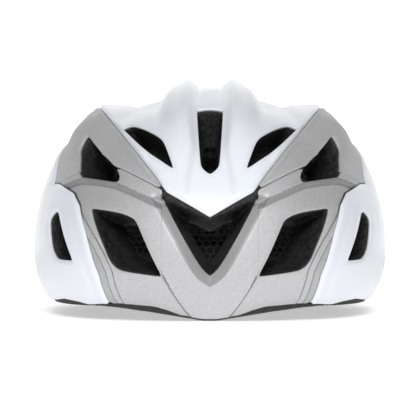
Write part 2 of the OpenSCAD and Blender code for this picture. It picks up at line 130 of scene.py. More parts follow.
# ---------------------------------------- vents and shell borders, as cones
V_VENT = [(-9, 3.6), (0, 8.4), (12.3, 15), (1.4, -4.4), (0, -5.2), (-9, -10.4)]
VENTS = [
    [(25.9, 42.5), (23.2, 43.2), (17.1, 37.3), (12.1, 30.9), (8.9, 21.2), (17.1, 28.7)],
    [(32.3, 14.2), (20.5, 10.4), (17.8, 8.7), (11.1, -5.4), (22.2, -4.2), (24, -3)],
    [(44.9, 15.4), (47.5, 16.7), (51.3, 14.3), (48.2, 0.8), (44.9, -2.5), (37.1, -2.2)],
    [(14, 82), (26, 80), (29, 92), (28, 106), (18, 110), (14, 97)],
    [(12.5, 119), (28, 116), (25, 136), (12, 141)],
    [(42, 62), (50, 57), (51.5, 82), (49, 106), (41.5, 110), (40, 85)],
    [(20, 153), (35, 143), (42, 152), (34, 170), (22, 172)],
    [(57, 134), (64, 124), (67, 146), (58, 160)],
    [(56, 84), (61, 72), (65, 92), (63, 114), (57, 116)],
    [(-4.2, 47.8), (4.2, 47.8), (2.1, 21.6), (0, 19.6), (-2.1, 21.6)],
    [(-3.8, 84), (3.8, 84), (4.2, 97), (3.8, 110), (-3.8, 110), (-4.2, 97)],
    [(-3.8, 119), (3.8, 119), (3.2, 138), (0, 142), (-3.2, 138)],
    [(-13, 153), (13, 153), (9, 166), (-9, 166)],
    [(61.6, -15.5), (62.8, -15.5), (64.4, -29.6), (63.2, -29.6)],
]
BAND_VENT = [
    [(38.5, 49.2), (41.5, 42.9), (36.9, 26), (29.9, 31.9), (35.2, 41)],
    [(36.9, 26), (23.2, 19.6), (22.7, 20.9), (23.8, 23.8), (29.9, 31.9)],
]
SIDE = [
    [(53, t) for t in range(-60, 241, 20)],
    [(48, 30), (38.7, 20.5), (35.4, 15.2), (32.2, 6.6), (27.8, -5.8), (26.5, -15.4), (24, -40), (54, -60),
     (54, 36)],
    [(54, 118), (47, 138), (42, 150), (38, 170), (36, 200), (40, 225), (54, 240)],
]
BROW = [(-9, 3), (12.3, 15.5), (26, 26), (37, 28), (49, 31), (36, 0), (27, -40), (-9, -40)]
BAND = [(10.4, 15.2), (13.9, 20.5), (20.6, 29.6), (30.1, 44.6), (36.2, 65.2), (38, 85), (38, 110), (34, 135),
        (31, 150), (50, 170), (80, 150), (85, 0), (60, -10), (30, 0)]  # fmt: skip
BACK = [(-31, 148), (31, 148), (42, 157), (41, 172), (36, 200), (30, 220), (-30, 220),
        (-36, 200), (-41, 172), (-42, 157)]  # fmt: skip
ARCH = [(11.8, 12.6), (23.5, 19.4), (36.7, 25.5), (48, 28)]
BEAK_SEAM = [(10.8, -5.3), (5.1, -16.9)]
CREASE = [(34.5, 72), (35.2, 58), (37.6, 49), (35.2, 41), (29.9, 31.9), (23.8, 24), (11.5, 14.6)]
# Distances kept on the shells for the silver's dark lines: painted shade beside the cheeks, round the V and
# under the arch, and the beak seam's line
LINES = ("beside", "seam", "around", "under")
SOFT, SOFT_V = 0.8, 1.3  # how round the vents' corners are, in mm
V_TOP = 14.4  # sweep of the chamfer's upper end


def wound(points, apex, axis):
    """Inward normals of the convex cone from the apex through the points."""
    v = points - apex
    e1 = unit(np.cross(axis, [0.3, 0.2, 1.0]))
    e2 = np.cross(axis, e1)
    flat = np.stack([v @ e1, v @ e2], 1) / (v @ axis)[:, None]
    order = sorted(range(len(flat)), key=lambda i: tuple(flat[i]))

    def half(indices):
        chain = []
        for i in indices:
            while len(chain) > 1:
                a, b = flat[chain[-1]] - flat[chain[-2]], flat[i] - flat[chain[-1]]
                if a[0] * b[1] - a[1] * b[0] > 1e-9:
                    break
                chain.pop()
            chain.append(i)
        return chain[:-1]

    loop = half(order) + half(order[::-1])
    return np.array([unit(np.cross(v[a], v[b])) for a, b in zip(loop, loop[1:] + loop[:1])])


def border(outline):
    d = direction(*np.array(outline, float).T)
    axis = unit(d.sum(0))
    normals = wound(CENTRE + d, CENTRE, axis)
    return CENTRE, normals * np.sign(normals @ axis).mean()


def vent(outline, axis=None, share=0.72):
    """A cone that has the outline at the outside and a share of its width at the cavity."""
    d = direction(*np.array(outline, float).T)
    n = unit(d.sum(0)) if axis is None else direction(*axis)
    outside, inside = float(dome_r(n)), float(cavity_r(n))
    slope = (outside - share * inside) / (outside - inside)
    foot = inside - share * inside / slope
    top = outside + 14
    apex = CENTRE + foot * n
    points = CENTRE + top * n + slope * (top - foot) * (d / (d @ n)[:, None] - n)
    normals = wound(points, apex, n)
    return apex, normals * np.sign(normals @ n).mean()


def within(cones, p, soft=0.0):
    """How far the points are inside any of the cones, in mm, with the cones' corners rounded."""
    best = np.full(p.shape[:-1], -400.0, p.dtype)
    for apex, normals in cones:
        v = (p - apex.astype(p.dtype)) @ normals.T.astype(p.dtype)
        low = v.min(-1)
        if soft:
            near = low > -12
            low[near] -= soft * np.log(np.exp((low[near][..., None] - v[near]) / soft).sum(-1))
        best = np.maximum(best, low)
    return best


def to_line(p, points):
    """Distance from the points p to a polyline of directions at their height, and which side they are on."""
    r = np.linalg.norm(p - CENTRE, axis=-1)
    line = direction(*np.array(points, float).T)
    nearest, side = np.full(len(p), 1e3), np.zeros(len(p))
    for a, b in zip(line, line[1:]):
        a, b = r[:, None] * a + CENTRE, r[:, None] * b + CENTRE
        u = np.clip(((p - a) * (b - a)).sum(-1) / ((b - a) ** 2).sum(-1), 0, 1)[:, None]
        away = p - a - u * (b - a)
        gap = np.linalg.norm(away, axis=-1)
        closer = gap < nearest
        nearest = np.where(closer, gap, nearest)
        side = np.where(closer, np.sign((np.cross(b - a, p - CENTRE) * away).sum(-1)), side)
    return nearest, side


def side_of(points, s, t):
    """Which side of the polyline a direction is on."""
    d = direction(s, t)[None]
    return to_line(CENTRE + dome_r(d)[:, None] * d, points)[1][0]


BELOW_ARCH = side_of(ARCH, 25, 0)
INBOARD = side_of(CREASE, 24, 36)
OUTBOARD = side_of(BEAK_SEAM, 25, -8)
CUT_V = [vent(V_VENT, (0, 4))]
CUT_BAND = [vent(outline, (33, 32)) for outline in BAND_VENT]
CUTS = [vent(outline) for outline in VENTS]
EDGE_SIDE = [border(outline) for outline in SIDE]
EDGE_BROW, EDGE_BAND, EDGE_BACK = [border(BROW)], [border(BAND)], [border(BACK)]


def rim_z(p):
    x = np.abs(p[..., 0])
    brow = np.interp(x, [0, 4, 34, 60, 100], [0, 0, 5, 8, 7])
    nape = np.interp(x, [0, 50, 62, 85, 100], [0, 0, 1.5, 5.5, 7])
    return np.where(p[..., 1] < 0, brow, nape)


def hem_z(p):
    """Lower edge of the shells: the dark trim shows below it, most beside the beak and under the cheeks."""
    x = np.abs(p[..., 0])
    show = np.interp(x, [0, 17, 24, 31, 45, 56, 64, 69, 75, 84, 91, 96, 105],
                     [0.8, 0.8, 2.4, 3.4, 3.0, 1.9, 1.2, 1.0, 2.4, 3.6, 2.0, 1.2, 1.2])  # fmt: skip
    return rim_z(p) + np.where(p[..., 1] < 0, show, 5 + (show - 5) * ease(-np.abs(p[..., 1]), -30, 0))


def regions(d):
    """Fields over directions: distances in mm into each shell from its border, the surface's relief, and painted
    shade.
    """
    a = d.copy()
    a[:, 0] = np.abs(a[:, 0])
    s, t = lean_sweep(a)
    r = dome_r(a)
    p = CENTRE + r[:, None] * a
    f = {"side": within(EDGE_SIDE, p), "brow": within(EDGE_BROW, p), "band": within(EDGE_BAND, p)}
    mirrored = p * [-1, 1, 1]
    f["back"] = np.maximum(within(EDGE_BACK, p), within(EDGE_BACK, mirrored))
    v_vent = within(CUT_V, p, SOFT_V)
    other = np.maximum(within(CUT_BAND, p, SOFT), within(CUTS, p, SOFT))
    vents = np.maximum(v_vent, other)
    crown = -np.maximum.reduce([f["band"], f["side"], f["brow"], f["back"]])
    brow = np.minimum(f["brow"], -f["side"])
    band = np.minimum.reduce([f["band"], -f["side"], -f["brow"], -f["back"]])
    side = np.minimum(f["side"], -f["back"])
    open_edge = p[:, 2] - hem_z(p)
    cut = np.minimum(-vents, open_edge)
    brow = np.where((s < 11.5) & (t > 7.2 + 0.537 * s), -1.0, brow)
    for name, area in (("crown", crown), ("brow", brow), ("band", band), ("side", side), ("rear", f["back"])):
        f[name] = np.minimum(area - 0.1, cut)
    f["trim"] = np.minimum(open_edge * -1 - 0.05, p[:, 2] - rim_z(p))

    # tone darkens the paint where shade falls on the relief; 1 is unshaded
    relief, tone = np.zeros(len(d)), np.ones(len(d))
    # White crown stands proud of the silver; its centre panel is let in beside the front vent
    on_crown = ease(crown, 0, 2.2)
    relief += 1.5 * on_crown
    half = np.interp(t, [5, 13, 27, 48, 67], [6.6, 5.8, 3.9, 5.6, 6.4])
    depth = np.interp(t, [2, 12, 24, 36, 56, 66], [0.2, 0.5, 0.7, 1.4, 1.2, 0])
    relief -= depth * (1 - ease(s, half - 0.7, half + 0.9)) * on_crown
    # Painted shade: a dark line along the centre panel's edge, and darker rib flanks where the light falls away
    tone -= 0.10 * bump(s, half, 0.8) * on_crown * (t < 60)
    flank_shade = 0.15 * bump(s, 12.4, 2.4) + 0.09 * ease(s, 14, 17) * (1 - ease(s, 27, 31))
    tone -= flank_shade * ease(t, 34, 44) * (1 - ease(t, 120, 140)) * on_crown
    # The panel round the brow vents ends in a ledge, and the crown behind it is lower
    ledge = t - np.interp(s, [15, 17, 23, 28, 31], [46, 47.8, 52.9, 55.3, 57])
    valley = ease(s, 14.6, 17.4) * (1 - ease(s, 27.5, 30.5))
    relief -= 2.4 * ease(ledge, 0, 1.4) * (1 - ease(ledge, 14, 30)) * valley
    relief += 1.3 * (1 - ease(ledge, -22, 0.3)) * valley * ease(t, 12, 30) * on_crown
    # Painted shade along the foot of the ledge
    tone -= 0.2 * bump(ledge, 0.8, 1.0) * valley * on_crown
    # Brow: recessed below the arch, chamfered round the V, stepped beside the cheeks, and a seam by the beak
    on_brow = ease(brow, -0.2, 0.2)
    arch, arch_side = to_line(p, ARCH)
    below = np.where(arch_side * BELOW_ARCH > 0, arch, -arch)
    face = ease(below, 0, 3.6)
    relief -= 2.2 * face * (1 - 0.55 * ease(below, 6, 30)) * on_brow
    around_v = -v_vent
    chamfer = np.clip(1 - around_v / 5.0, 0, 1) * on_brow * (t < V_TOP)
    relief -= 2.7 * chamfer
    beside = -f["side"]
    step = on_brow * ease(t, 30, 18)
    terraces = 0.8 * ease(-beside, -9.9, -8.7) - 0.5 * ease(-beside, -5.3, -4.1) - 0.8 * ease(-beside, -1.6, 0)
    relief -= step * terraces
    seam, seam_side = to_line(p, BEAK_SEAM)
    outboard = seam_side * OUTBOARD > 0
    low_face = ease(-t, 0, 6) * outboard * ease(seam, 0.2, 1.2) * on_brow
    relief -= 0.8 * low_face * (1 - ease(seam, 8, 26))
    # Distances for the silver paint's painted shade lines and strips, and for the beak seam's dark line
    f["beside"] = beside + 9 * ease(t, -4, 14)
    f["seam"] = seam * seam_side * OUTBOARD
    f["around"] = np.where(t < V_TOP, around_v, 99.0)
    f["under"] = np.where(s > 11, below, -9.0)
    # Silver band: proud inboard of its crease, with a lip beside the crown
    on_band = ease(band, -0.2, 1.0)
    crease, crease_side = to_line(p, CREASE)
    inboard = np.where(crease_side * INBOARD > 0, crease, -crease)
    relief += (1.5 * ease(inboard, -0.6, 1.0) - 0.9 * ease(inboard, 2, 15)) * on_band
    relief += 0.8 * bump(crown, -1.6, 1.4) * on_band
    # White side: a rolled border and a shallow crease along its front
    on_side = ease(side, 0, 2.4)
    relief += 1.1 * on_side - 0.35 * bump(side, 7.5, 2.2) * on_side * (t < 40)
    relief += 0.6 * ease(f["back"], 0, 3)
    # Lips roll into the vents and the lower edge
    lips = np.where(on_brow > 0.5, 0.45, 1.0)
    relief -= lips * np.clip(1 + other / 2.6, 0, 1) ** 2 * (other < 0.2) * (chamfer == 0)
    relief -= 0.8 * np.clip(1 - around_v / 2.6, 0, 1) ** 2 * (on_brow < 0.5)
    relief -= 0.9 * np.clip(1 - open_edge / 3.5, 0, 1) ** 2
    f["height"] = r + relief
    f["tone"] = np.clip(tone, 0.2, 1)
    return f


# ---------------------------------------- grid of directions that the shells are cut from
STEP = 0.5
LEANS = np.arange(-90 + STEP, 90 - STEP / 2, STEP)
SWEEPS = np.arange(-90, 270 - STEP / 2, STEP)
NS, NT = len(LEANS), len(SWEEPS)
POLES = [[-1, 0, 0], [1, 0, 0]]
GRID = np.concatenate([direction(*np.meshgrid(LEANS, SWEEPS, indexing="ij")).reshape(-1, 3), POLES])
i, j = np.meshgrid(np.arange(NS - 1), np.arange(NT), indexing="ij")
k = (j + 1) % NT
QUADS = np.stack([i * NT + j, (i + 1) * NT + j, (i + 1) * NT + k, i * NT + k], -1).reshape(-1, 4)
j = np.arange(NT)
k = (j + 1) % NT
FANS = np.concatenate([
    np.stack([np.full(NT, NS * NT), j, k], 1),
    np.stack([(NS - 1) * NT + j, np.full(NT, NS * NT + 1), (NS - 1) * NT + k], 1),
])
FIELDS = regions(GRID)


def clipped(values):
    """The grid's faces where the values are positive: directions of the corners, and the faces."""
    keep = values > 0
    new, made, faces = [], {}, []

    def crossing(a, b):
        key = (min(a, b), max(a, b))
        if key not in made:
            u = min(0.94, max(0.06, values[key[0]] / (values[key[0]] - values[key[1]])))
            made[key] = len(GRID) + len(new)
            new.append(GRID[key[0]] * (1 - u) + GRID[key[1]] * u)
        return made[key]

    for cells in (QUADS, FANS):
        count = keep[cells].sum(1)
        faces += cells[count == cells.shape[1]].tolist()
        for cell in cells[(count > 0) & (count < cells.shape[1])].tolist():
            loop = []
            for a, b in zip(cell, cell[1:] + cell[:1]):
                if keep[a]:
                    loop.append(a)
                if keep[a] != keep[b]:
                    loop.append(crossing(a, b))
            faces.append(loop)
    used = np.unique(np.concatenate([np.array(face) for face in faces]))
    place = np.full(len(GRID) + len(new), -1)
    place[used] = np.arange(len(used))
    points = np.concatenate([GRID, unit(np.array(new))]) if new else GRID
    return points[used], [place[face].tolist() for face in faces]


def open_edges(faces, n):
    """Directed edges that only one face has."""
    a = np.array([v for face in faces for v in face])
    b = np.array([v for face in faces for v in face[1:] + face[:1]])
    key, back = a * n + b, b * n + a
    once = ~np.isin(key, back)
    return np.stack([a[once], b[once]], 1)


def add_object(name, points, faces, attributes=None, sharp=40):
    """A mesh object from points in mm."""
    mesh = bpy.data.meshes.new(name)
    mesh.from_pydata((np.asarray(points) * MM).tolist(), [], faces)
    for key, values in (attributes or {}).items():
        mesh.attributes.new(key, "FLOAT", "POINT").data.foreach_set("value", np.asarray(values, np.float32))
    mesh.polygons.foreach_set("use_smooth", [True] * len(mesh.polygons))
    if sharp:
        mesh.set_sharp_from_angle(angle=math.radians(sharp))
    mesh.update()
    piece = bpy.data.objects.new(name, mesh)
    bpy.context.scene.collection.objects.link(piece)
    return piece


def shell(name, field, keep=None, outside=0.0, thick=SHELL, roll=0.42):
    """A thin closed shell over part of the surface, its outer edges rounded and darkened with painted shade."""
    values = FIELDS[field] - roll
    if keep is not None:
        values = np.where(keep, values, -1.0)
    d, faces = clipped(values)
    n = len(d)
    edges = open_edges(faces, n)
    rim = np.unique(edges)
    place = np.full(n, -1)
    place[rim] = np.arange(len(rim))
    # Slope of the field along the surface, to step outwards from the cut
    base = d[rim]
    e1 = unit(np.cross(base, [0.1, 0.2, 1.0]))
    e2 = np.cross(base, e1)
    here = regions(base)
    radius = here["height"][:, None]
    h = 0.25
    slope = np.stack([(regions(unit(base + e * h / radius))[field] - here[field]) / h for e in (e1, e2)], 1)
    steep = np.maximum((slope**2).sum(1), 0.25)
    if keep is not None:  # a cut along the centre plane has no rounded edge
        steep = np.where(np.abs(base[:, 0]) < 1e-6, 1e9, steep)
    found = regions(d)
    rows, painted_shade_rows = [CENTRE + (found["height"] - outside)[:, None] * d], [found["tone"]]
    lines = {key: np.concatenate([found[key]] + [here[key]] * 4 + [found[key]]) for key in LINES}
    for angle in (35, 65, 90):
        target = roll * (1 - math.sin(math.radians(angle)))
        move = np.clip((target - here[field]) / steep, -1, 1)[:, None] * slope
        ring = unit(base + (move[:, :1] * e1 + move[:, 1:] * e2) / radius)
        drop = outside + roll * (1 - math.cos(math.radians(angle)))
        rows.append(CENTRE + (here["height"] - drop)[:, None] * ring)
        # Painted shade: the rolled edge darkens as it turns under
        painted_shade_rows.append(here["tone"] * (1 - 0.12 * angle / 90))
    rows.append(CENTRE + (here["height"] - outside - thick)[:, None] * ring)
    # Painted shade on the edge's inner corner
    painted_shade_rows.append(here["tone"] * 0.7)
    rows.append(CENTRE + (found["height"] - outside - thick)[:, None] * d)
    painted_shade_rows.append(found["tone"])
    last = n + 4 * len(rim)
    a, b = edges.T
    rings = [np.stack([a, b], 1)] + [n + level * len(rim) + place[np.stack([a, b], 1)] for level in range(4)]
    rings.append(last + np.stack([a, b], 1))
    walls = [np.stack([up[:, 1], up[:, 0], low[:, 0], low[:, 1]], 1) for up, low in zip(rings, rings[1:])]
    inner = [[last + v for v in face[::-1]] for face in faces]
    lines["tone"] = np.concatenate(painted_shade_rows)
    return add_object(name, np.concatenate(rows), faces + np.concatenate(walls).tolist() + inner, lines)


# ---------------------------------------- materials
class Paint:
    """A material and short ways to add nodes to it."""

    def __init__(self, name, colour, rough, metallic=0.0, **sockets):
        self.material = bpy.data.materials.new(name)
        self.material.use_nodes = True
        self.tree = self.material.node_tree
        self.shader = self.tree.nodes["Principled BSDF"]
        basics = {"Base Color": (*colour, 1), "Roughness": rough, "Metallic": metallic}
        self.set(self.shader, {**basics, **sockets})
        self.place = self.node("ShaderNodeTexCoord").outputs["Object"]

    @staticmethod
    def set(node, values):
        for key, value in values.items():
            node.inputs[key].default_value = value

    def node(self, kind, inputs=None, **settings):
        node = self.tree.nodes.new(kind)
        for key, value in settings.items():
            setattr(node, key, value)
        for key, value in (inputs or {}).items():
            if isinstance(value, bpy.types.NodeSocket):
                self.tree.links.new(value, node.inputs[key])
            else:
                node.inputs[key].default_value = value
        return node

    def noise(self, scale, detail=3.0, rough=0.5, where=None):
        inputs = {"Vector": where or self.place, "Scale": scale, "Detail": detail, "Roughness": rough}
        return self.node("ShaderNodeTexNoise", inputs).outputs["Fac"]

    def cells(self, scale, feature="F1", output="Distance", where=None):
        inputs = {"Vector": where or self.place, "Scale": scale}
        node = self.node("ShaderNodeTexVoronoi", inputs, feature=feature)
        return node.outputs[output]

    def span(self, value, low, high, start=0.0, end=1.0):
        inputs = {"Value": value, "From Min": start, "From Max": end, "To Min": low, "To Max": high}
        return self.node("ShaderNodeMapRange", inputs).outputs["Result"]

    def math(self, kind, a, b=0.0):
        return self.node("ShaderNodeMath", {0: a, 1: b}, operation=kind).outputs[0]

    def attribute(self, name):
        return self.node("ShaderNodeAttribute", attribute_name=name).outputs["Fac"]

    def tint(self, *factors):
        """Multiplies the base colour by the factors."""
        base = self.shader.inputs["Base Color"]
        colour = base.links[0].from_socket if base.links else tuple(base.default_value)
        for factor in factors:
            inputs = {0: 1.0, 6: colour, 7: factor}
            node = self.node("ShaderNodeMix", inputs, data_type="RGBA", blend_type="MULTIPLY")
            colour = node.outputs[2]
        self.tree.links.new(colour, self.shader.inputs["Base Color"])
        return self

    def rough(self, value):
        self.tree.links.new(value, self.shader.inputs["Roughness"])
        return self

    def relief(self, *layers):
        """Bump from (height, strength, distance in m) layers."""
        normal = None
        for height, strength, distance in layers:
            inputs = {"Height": height, "Strength": strength, "Distance": distance}
            if normal is not None:
                inputs["Normal"] = normal
            normal = self.node("ShaderNodeBump", inputs).outputs["Normal"]
        self.tree.links.new(normal, self.shader.inputs["Normal"])
        return self


def make_white():
    coat = {"Coat Weight": 0.35, "Coat Roughness": 0.22}
    m = Paint("white_satin_paint", (0.79, 0.818, 0.872), 0.36, **coat)
    # Painted shade from the shells' shade attribute, and a random mottle
    m.tint(m.attribute("tone"), m.span(m.noise(14, 4), 0.975, 1.02))
    m.rough(m.span(m.noise(60, 3), 0.29, 0.40))
    return m.relief((m.noise(1500, 2), 0.05, 0.0004), (m.noise(90, 2), 0.02, 0.002)).material


def make_silver():
    coat = {"Coat Weight": 0.05, "Coat Roughness": 0.4}
    m = Paint("silver_metallic_paint", (0.55, 0.55, 0.56), 0.52, 0.38, **coat)
    flakes = m.cells(2600, output="Color")
    grey = m.node("ShaderNodeSeparateColor", {"Color": flakes}).outputs[0]
    def line(name, place, half, dark):
        """Darkens a line where the piece's named distance is at place: painted shade along a step, or a seam's
        dark line.
        """
        away = m.math("ABSOLUTE", m.math("SUBTRACT", m.attribute(name), place))
        return m.span(away, dark, 1.0, half * 0.35, half)

    def shade_strip(name, start, end, dark):
        """Painted shade: darkens a strip between two distances."""
        middle, half = (start + end) / 2, (end - start) / 2
        away = m.math("ABSOLUTE", m.math("SUBTRACT", m.attribute(name), middle))
        return m.span(away, dark, 1.0, half - 0.25, half + 0.25)

    # Painted shade from the shells' shade attribute, then metallic flakes and a random mottle
    m.tint(m.attribute("tone"), m.span(grey, 0.86, 1.08), m.span(m.noise(16, 3), 0.96, 1.03))
    # Painted shade lines along the brow's two steps beside the cheeks, and a painted shade strip on the chamfer
    # next to the side
    m.tint(line("beside", 9.4, 0.75, 0.42), line("beside", 4.7, 0.6, 0.6), shade_strip("beside", 0, 4.7, 0.84))
    # A dark line along the beak seam; painted shade on the V's chamfer and on the bevel under the arch
    m.tint(line("seam", 0.0, 0.95, 0.35), shade_strip("around", -1, 5.4, 0.6), shade_strip("under", 0.0, 3.8, 0.55))
    m.rough(m.span(m.noise(70, 3), 0.48, 0.6))
    return m.relief((grey, 0.05, 0.0003), (m.noise(1300, 2), 0.04, 0.0004)).material


def make_foam():
    m = Paint("black_bead_foam", (0.017, 0.0165, 0.0165), 0.62, **{"Specular IOR Level": 0.42})
    warped = m.node("ShaderNodeVectorMath", {0: m.place, 1: (0.0, 0.0, 0.0)}, operation="ADD").outputs[0]
    edge = m.cells(330, "DISTANCE_TO_EDGE", where=warped)
    bead = m.cells(330, "F1", where=warped)
    colours = m.cells(330, output="Color", where=warped)
    shade = m.node("ShaderNodeSeparateColor", {"Color": colours}).outputs[0]
    m.tint(m.span(edge, 0.62, 1.25, 0.0, 0.16), m.span(shade, 0.8, 1.5), m.span(m.noise(35, 3), 0.8, 1.25))
    m.rough(m.span(shade, 0.48, 0.72))
    return m.relief((m.span(bead, 1, 0, 0, 0.8), 0.35, 0.0009), (m.span(edge, 0, 1, 0, 0.1), 0.5, 0.0004),
                    (m.noise(1800, 3), 0.25, 0.0003)).material  # fmt: skip


def make_plastic(name, colour, rough=0.5, grain=1400, depth=0.0003, specular=0.45):
    m = Paint(name, colour, rough, **{"Specular IOR Level": specular})
    m.tint(m.span(m.noise(40, 3), 0.85, 1.15))
    m.rough(m.span(m.noise(120, 3), rough - 0.07, rough + 0.09))
    return m.relief((m.cells(grain), 0.3, depth), (m.noise(grain / 2, 2), 0.1, depth)).material


def make_rubber():
    m = Paint("dial_rubber", (0.035, 0.035, 0.037), 0.72, **{"Sheen Weight": 0.15})
    m.tint(m.span(m.noise(60, 3), 0.8, 1.2))
    return m.relief((m.noise(2500, 3), 0.35, 0.0003)).material


def make_steel():
    m = Paint("pin_steel", (0.56, 0.56, 0.55), 0.28, 1.0)
    rings = m.noise(700, 4, 0.7)
    m.tint(m.span(rings, 0.88, 1.08))
    m.rough(m.span(rings, 0.2, 0.38))
    return m.relief((rings, 0.12, 0.0002)).material


def make_nylon():
    depth = {"Subsurface Weight": 0.15, "Subsurface Scale": 0.002}
    m = Paint("gear_nylon", (0.72, 0.71, 0.67), 0.42, **depth)
    m.tint(m.span(m.noise(80, 3), 0.92, 1.05))
    m.rough(m.span(m.noise(200, 2), 0.36, 0.5))
    return m.relief((m.noise(900, 3), 0.15, 0.0003)).material


def make_knit():
    """Brushed pad cloth: fine loops with a soft nap."""
    m = Paint("pad_knit", (0.03, 0.03, 0.033), 0.88, **{"Sheen Weight": 0.55, "Sheen Roughness": 0.45})
    loops = m.cells(900, "SMOOTH_F1")
    m.tint(m.span(loops, 1.35, 0.6, 0, 0.7), m.span(m.noise(45, 4), 0.75, 1.3))
    m.rough(m.span(m.noise(300, 3), 0.8, 0.96))
    return m.relief((m.span(loops, 1, 0), 0.6, 0.0005), (m.noise(2600, 3), 0.4, 0.0003)).material


def make_webbing():
    """Woven strap: diagonal picks across the ribbon, in UV space (u across, v along in widths)."""
    m = Paint("woven_webbing", (0.028, 0.028, 0.03), 0.7, **{"Sheen Weight": 0.3, "Sheen Roughness": 0.4})
    uv = m.node("ShaderNodeSeparateXYZ", {"Vector": m.node("ShaderNodeTexCoord").outputs["UV"]})
    across, along = uv.outputs[0], uv.outputs[1]
    chevron = m.math("PINGPONG", m.math("MULTIPLY", across, 2.0), 1.0)
    phase = m.math("ADD", m.math("MULTIPLY", along, 58.0), m.math("MULTIPLY", chevron, 14.0))
    pick = m.math("MULTIPLY", m.math("ADD", m.math("SINE", phase), 1.0), 0.5)
    warp = m.math("ABSOLUTE", m.math("SINE", m.math("MULTIPLY", across, 44.0)))
    weave = m.math("MULTIPLY", pick, m.math("ADD", m.math("MULTIPLY", warp, 0.6), 0.4))
    m.tint(m.span(weave, 0.5, 1.5), m.span(m.noise(120, 3), 0.85, 1.15))
    m.rough(m.span(weave, 0.82, 0.6))
    return m.relief((weave, 0.7, 0.0005), (m.noise(3000, 2), 0.2, 0.0002)).material


WHITE, SILVER, FOAM, RUBBER = make_white(), make_silver(), make_foam(), make_rubber()
STEEL, NYLON, KNIT, WEBBING = make_steel(), make_nylon(), make_knit(), make_webbing()
TRIM = make_plastic("rim_trim_plastic", (0.045, 0.045, 0.044), 0.75, specular=0.12)
BLACK = make_plastic("black_moulded_plastic", (0.022, 0.022, 0.023), 0.42)
BELT = make_plastic("belt_plastic", (0.04, 0.04, 0.042), 0.38, 900)
NET = make_plastic("net_yarn", (0.05, 0.05, 0.05), 0.55, 3000)
HOOKS = make_plastic("hook_tape", (0.05, 0.05, 0.052), 0.85, 1600, 0.0009)


def finish_piece(piece, material, slot, *nodes, body="helmet"):
    piece.data.materials.clear()
    piece.data.materials.append(material)
    if body:
        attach(piece, body)
    if nodes:
        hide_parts(*nodes)
    return piece


# ---------------------------------------- outer shells and trim
RIGHT, LEFT = GRID[:, 0] > 0, GRID[:, 0] < 0
finish_piece(shell("crown_shell_painted", "crown"), WHITE, "white_paint", "crown_shell")
finish_piece(shell("brow_shell_painted", "brow"), SILVER, "silver_paint", "brow_shell")
finish_piece(shell("band_right_painted", "band", RIGHT), SILVER, "silver_paint", "band_right")
finish_piece(shell("band_left_painted", "band", LEFT), SILVER, "silver_paint", "band_left")
finish_piece(shell("side_shell_right_painted", "side", RIGHT), WHITE, "white_paint", "side_shell_right")
finish_piece(shell("side_shell_left_painted", "side", LEFT), WHITE, "white_paint", "side_shell_left")
finish_piece(shell("rear_shell_painted", "rear"), SILVER, "silver_paint", "rear_shell")
trim = shell("rim_trim_moulded", "trim", outside=0.7, thick=1.4, roll=0.3)
finish_piece(trim, TRIM, "dark_trim", "rim_trim")


# ---------------------------------------- foam liner, from a distance field
def soft_max(a, b, k):
    h = np.clip(0.5 + 0.5 * (a - b) / k, 0, 1)
    return b * (1 - h) + a * h + k * h * (1 - h)


def make_liner():
    pitch = 1.35
    xs = np.arange(0, 112, pitch, dtype=np.float32)
    ys = np.arange(-146, 146, pitch, dtype=np.float32)
    zs = np.arange(-3.6, 142, pitch, dtype=np.float32)
    p = np.stack(np.meshgrid(xs, ys, zs, indexing="ij"), -1).reshape(-1, 3)
    v = p - CENTRE.astype(np.float32)
    far = np.linalg.norm(v, axis=1) + 1e-3
    d = v / far[:, None]
    # Outside, under the shells
    s, t = lean_sweep(d)
    height = FIELDS["height"][: NS * NT].reshape(NS, NT)
    a = np.clip((s - LEANS[0]) / STEP, 0, NS - 1.001)
    b = ((t - SWEEPS[0]) % 360) / STEP
    a0, b0 = a.astype(int), b.astype(int) % NT
    u, w, b1 = a - a0, b - np.floor(b), (b0 + 1) % NT
    near_side = height[a0, b0] * (1 - u) + height[a0 + 1, b0] * u
    far_side = height[a0, b1] * (1 - u) + height[a0 + 1, b1] * u
    outside = near_side * (1 - w) + far_side * w
    outer = far - (outside - SHELL - 0.15)
    # Head cavity: domed above the widest level, straight-sided below, with air channels between the pads
    level = d.copy()
    level[:, 2] = 0
    below = v[:, 2] < 0
    flat = np.linalg.norm(v[:, :2], axis=1) + 1e-3
    level = np.where(below[:, None], v * [1, 1, 0] / flat[:, None], d)
    channels = (5 * bump(s, 0, 2.6) + 5 * bump(s, 21, 4.5)) * ease(t, 22, 50) * (1 - ease(t, 135, 160))
    cavity = cavity_r(level) + channels - np.where(below, flat, far)
    body = soft_max(outer.astype(np.float32), cavity.astype(np.float32), 2.0)
    body = soft_max(body, (rim_z(p) - p[:, 2]).astype(np.float32), 2.0)
    near = body < 4
    holes = np.full(len(p), -20.0, np.float32)
    q = p[near].astype(np.float32)
    holes[near] = np.maximum.reduce([within(CUT_V, q, SOFT_V), within(CUT_BAND, q, SOFT), within(CUTS, q, SOFT)])
    body = soft_max(body, holes, 1.4).reshape(len(xs), len(ys), len(zs))
    body = np.concatenate([body[:0:-1], body])
    grid = openvdb.FloatGrid(float(body.max()))
    grid.copyFromArray(np.ascontiguousarray(body, np.float32))
    points, quads = grid.convertToQuads(0.0)
    points = points * pitch + [-xs[-1], ys[0], zs[0]]
    c = points[quads]
    volume = (np.cross(c[:, 1] - c[:, 0], c[:, 2] - c[:, 0]) * c[:, 0]).sum()
    quads = quads[:, ::-1] if volume < 0 else quads
    return add_object("eps_liner_foam", points, quads.tolist(), sharp=0)


finish_piece(make_liner(), FOAM, "black_foam", "eps_liner")


